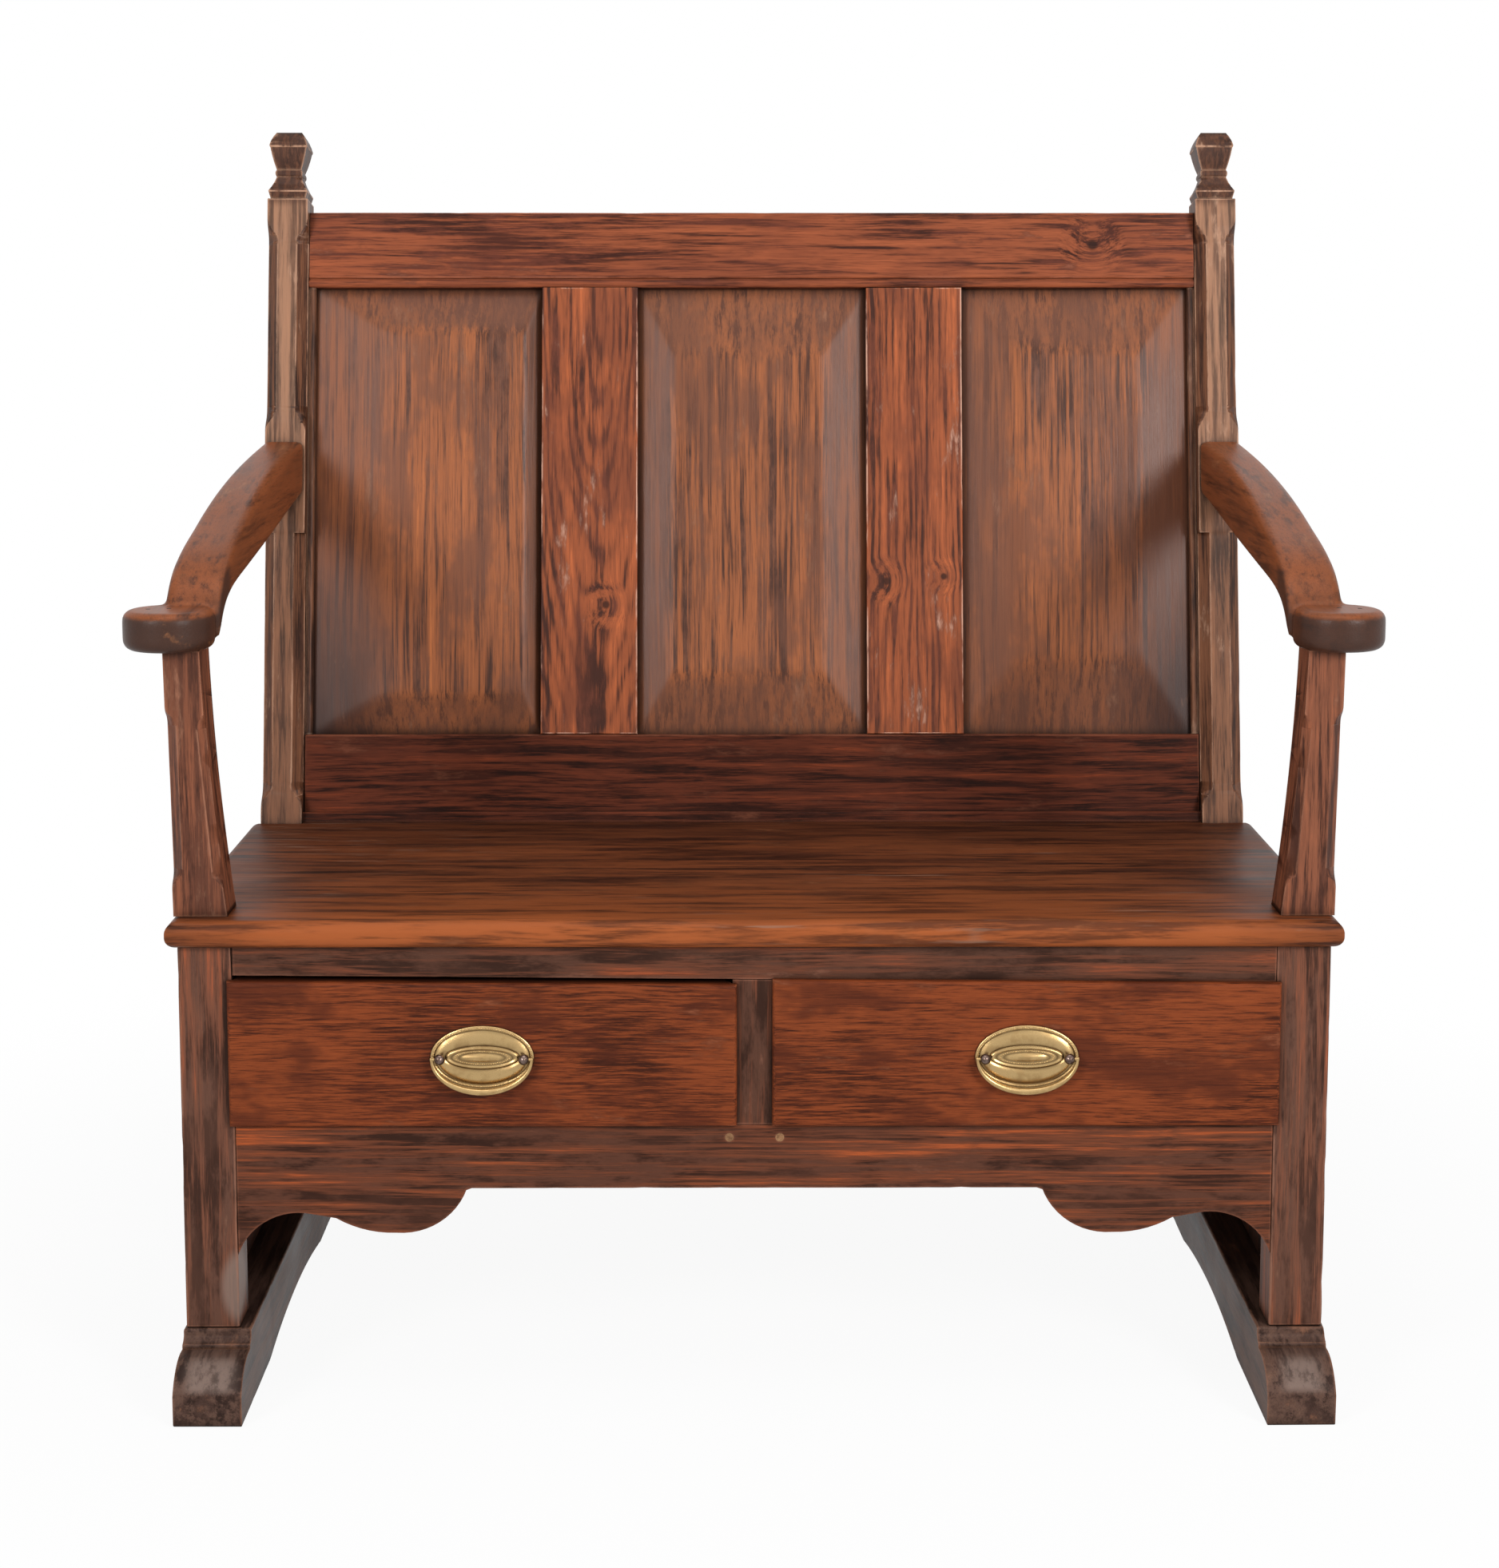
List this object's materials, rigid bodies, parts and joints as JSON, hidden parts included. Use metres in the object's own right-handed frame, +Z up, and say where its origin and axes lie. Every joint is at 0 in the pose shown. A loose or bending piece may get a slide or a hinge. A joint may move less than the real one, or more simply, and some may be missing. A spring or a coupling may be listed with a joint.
{
  "type": "settle",
  "caption": "Wooden settle with a raked panelled back, shaped arms, sledge feet, a lobed apron and drawers with brass bail pulls under the seat.",
  "frame": {"origin": "on the floor, below the middle of the sledge feet", "axes": "+X to the right seen from the front, +Y to the back, +Z up"},
  "size_m": [1.138, 0.658, 1.1812],
  "materials": {
    "frame_wood": "waxed",
    "foot_wood": "worn",
    "seat_wood": "waxed",
    "panel_wood": "waxed",
    "drawer_wood": "waxed",
    "plain_wood": "dry",
    "peg_wood": "dry",
    "brass": "polished",
    "iron": "rusted"
  },
  "bodies": {
    "frame": {"front_stile_left": "frame_wood", "front_stile_right": "frame_wood", "rear_post_left": "frame_wood", "rear_post_right": "frame_wood", "end_board_left": "frame_wood", "end_board_right": "frame_wood", "front_top_rail": "frame_wood", "drawer_divider": "frame_wood", "apron_rail": "frame_wood", "seat_strip": "frame_wood", "back_top_rail": "frame_wood", "back_bottom_rail": "frame_wood", "back_muntin_left": "frame_wood", "back_muntin_right": "frame_wood", "panel_bead_left": "frame_wood", "panel_bead_right": "frame_wood", "arm_left": "frame_wood", "arm_right": "frame_wood", "arm_support_left": "frame_wood", "arm_support_right": "frame_wood", "sledge_foot_left": "foot_wood", "sledge_foot_right": "foot_wood", "seat_board": "seat_wood", "back_panel_left": "panel_wood", "back_panel_centre": "panel_wood", "back_panel_right": "panel_wood", "drawer_runner_left": "plain_wood", "drawer_runner_centre": "plain_wood", "drawer_runner_right": "plain_wood", "kicker_left": "plain_wood", "kicker_centre": "plain_wood", "kicker_right": "plain_wood", "rear_board": "plain_wood", "runner_pegs": "peg_wood", "arm_nails": "iron"},
    "left_drawer": {"left_drawer_front": "drawer_wood", "left_drawer_inner_side": "plain_wood", "left_drawer_outer_side": "plain_wood", "left_drawer_back": "plain_wood", "left_drawer_bottom": "plain_wood", "left_pull_backplate": "brass", "left_pull_posts": "brass", "left_pull_nuts": "brass"},
    "left_bail": {"left_pull_bail": "brass"},
    "right_drawer": {"right_drawer_front": "drawer_wood", "right_drawer_inner_side": "plain_wood", "right_drawer_outer_side": "plain_wood", "right_drawer_back": "plain_wood", "right_drawer_bottom": "plain_wood", "right_pull_backplate": "brass", "right_pull_posts": "brass", "right_pull_nuts": "brass"},
    "right_bail": {"right_pull_bail": "brass"}
  },
  "joints": [
    {"name": "left_drawer_slide", "type": "slide", "parent": "frame", "child": "left_drawer", "axis": [0, -1, 0], "range_m": [0, 0.3]},
    {"name": "left_bail_swing", "type": "hinge", "parent": "left_drawer", "child": "left_bail", "pos_m": [-0.24675, -0.2868, 0.328], "axis": [-1, 0, 0], "range_deg": [-5, 170]},
    {"name": "right_drawer_slide", "type": "slide", "parent": "frame", "child": "right_drawer", "axis": [0, -1, 0], "range_m": [0, 0.3]},
    {"name": "right_bail_swing", "type": "hinge", "parent": "right_drawer", "child": "right_bail", "pos_m": [0.24675, -0.2868, 0.328], "axis": [-1, 0, 0], "range_deg": [-5, 170]}
  ]
}
